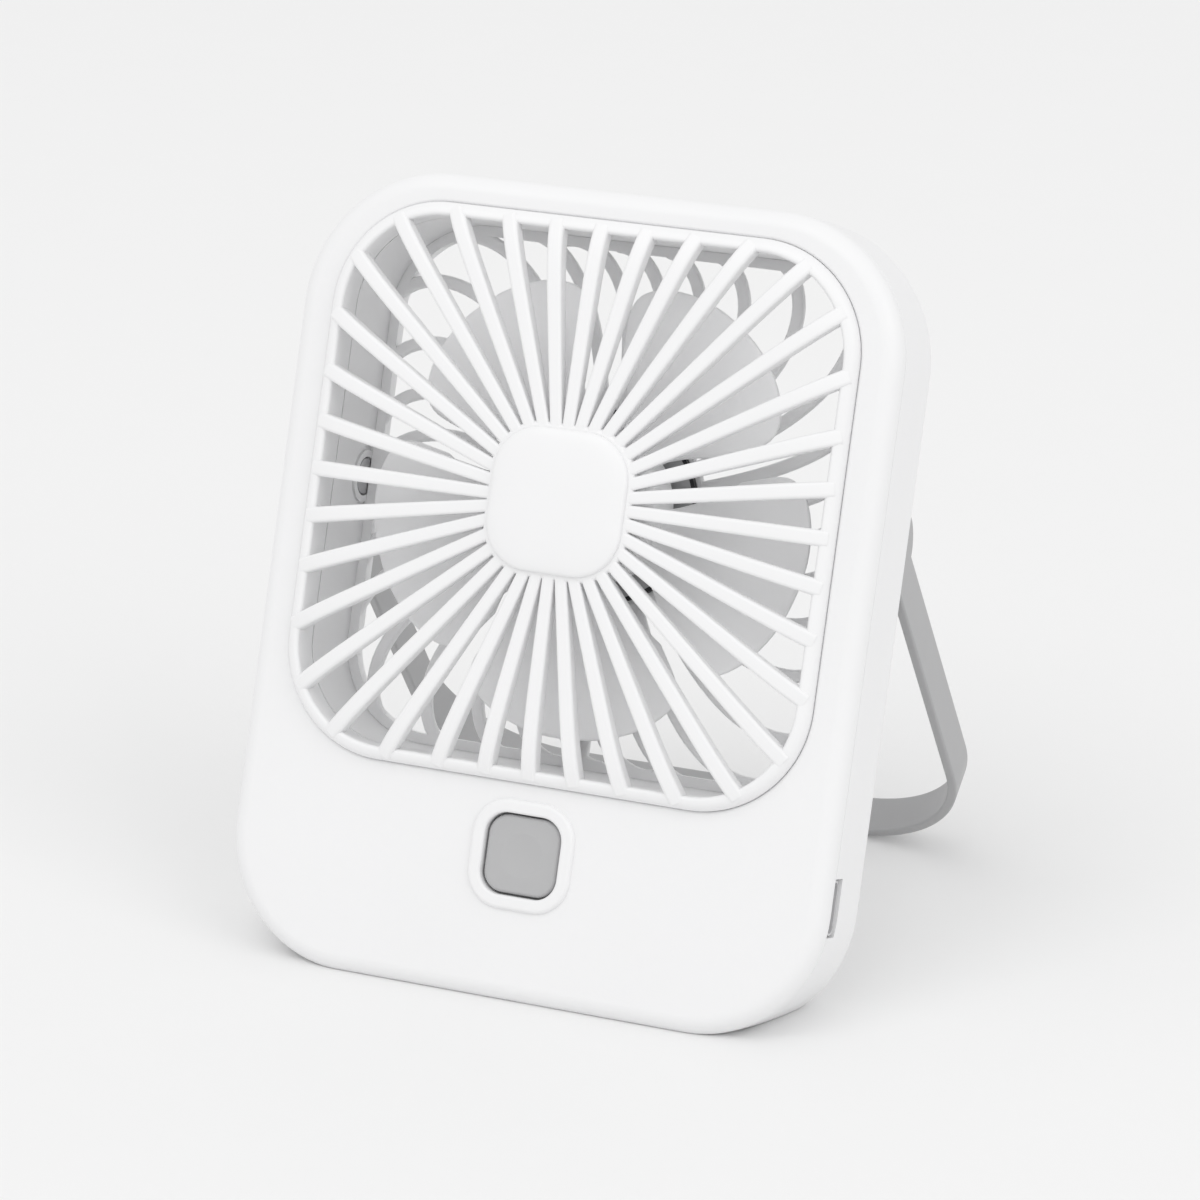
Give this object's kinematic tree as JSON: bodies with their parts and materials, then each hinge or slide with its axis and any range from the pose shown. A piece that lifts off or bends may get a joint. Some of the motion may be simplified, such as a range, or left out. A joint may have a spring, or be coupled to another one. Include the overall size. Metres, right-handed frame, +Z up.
{
  "type": "folding desk fan",
  "caption": "Small square box fan leaning on a U-shaped folding stand, with a domed grille of straight radial ribs, a bladed impeller and one button below.",
  "frame": {"origin": "middle of the bounding box's bottom face, on the surface the fan stands on, in the pose with the stand open", "axes": "+Z up; -Y is the side the grille faces, the housing leaning 19.9 degrees back about X so that its front looks slightly up; +X is to the right seen from the front, the side with the charging socket"},
  "size_m": [0.1046, 0.0928, 0.1239],
  "materials": {
    "white_plastic": "fine satin moulded plastic",
    "grey_plastic": "satin moulded plastic",
    "blade_plastic": "light grey moulded plastic",
    "steel": "plated steel",
    "bronze": "sintered bronze",
    "magnet": "bonded magnet",
    "copper": "enamelled copper windings on a steel core",
    "dark_plastic": "black plastic",
    "board": "solder mask",
    "cell_wrap": "laminated foil",
    "lead_sleeve": "silicone sleeve"
  },
  "bodies": {
    "housing": {"front_shell": "white_plastic", "rear_shell": "white_plastic", "front_grille": "white_plastic", "grille_cap": "white_plastic", "rear_grille": "white_plastic", "bearing_bush": "bronze", "stator_core": "copper", "motor_base": "dark_plastic", "tact_switch": "dark_plastic", "main_board": "board", "usb_c_socket": "steel", "battery_cell": "cell_wrap", "motor_lead": "lead_sleeve", "battery_lead": "lead_sleeve", "pivot_pin_left": "steel", "pivot_pin_right": "steel", "friction_washer_left": "steel", "friction_washer_right": "steel", "shell_screw_upper_left": "steel", "shell_screw_upper_right": "steel", "shell_screw_lower_left": "steel", "shell_screw_lower_right": "steel"},
    "rotor": {"impeller": "blade_plastic", "rotor_cup": "steel", "magnet_ring": "magnet", "motor_shaft": "steel"},
    "button": {"power_button": "grey_plastic"},
    "plunger": {"switch_plunger": "dark_plastic"},
    "stand": {"stand": "grey_plastic"}
  },
  "joints": [
    {"name": "impeller_spin", "type": "hinge", "parent": "housing", "child": "rotor", "pos_m": [0, -0.01941, 0.07697], "axis": [0, 0.9403, -0.3404], "continuous": true},
    {"name": "stand_fold", "type": "hinge", "parent": "housing", "child": "stand", "pos_m": [0, -0.00435, 0.07099], "axis": [1, 0, 0], "range_deg": [-47.2, 20]},
    {"name": "button_press", "type": "slide", "parent": "housing", "child": "button", "axis": [0, 0.9403, -0.3404], "range_m": [0, 0.0005], "stiffness_N_per_m": 2000},
    {"name": "switch_press", "type": "slide", "parent": "housing", "child": "plunger", "axis": [0, 0.9403, -0.3404], "range_m": [0, 0.0005]}
  ],
  "couplings": [
    {"joint": "switch_press", "follows": "button_press", "ratio": 1}
  ]
}
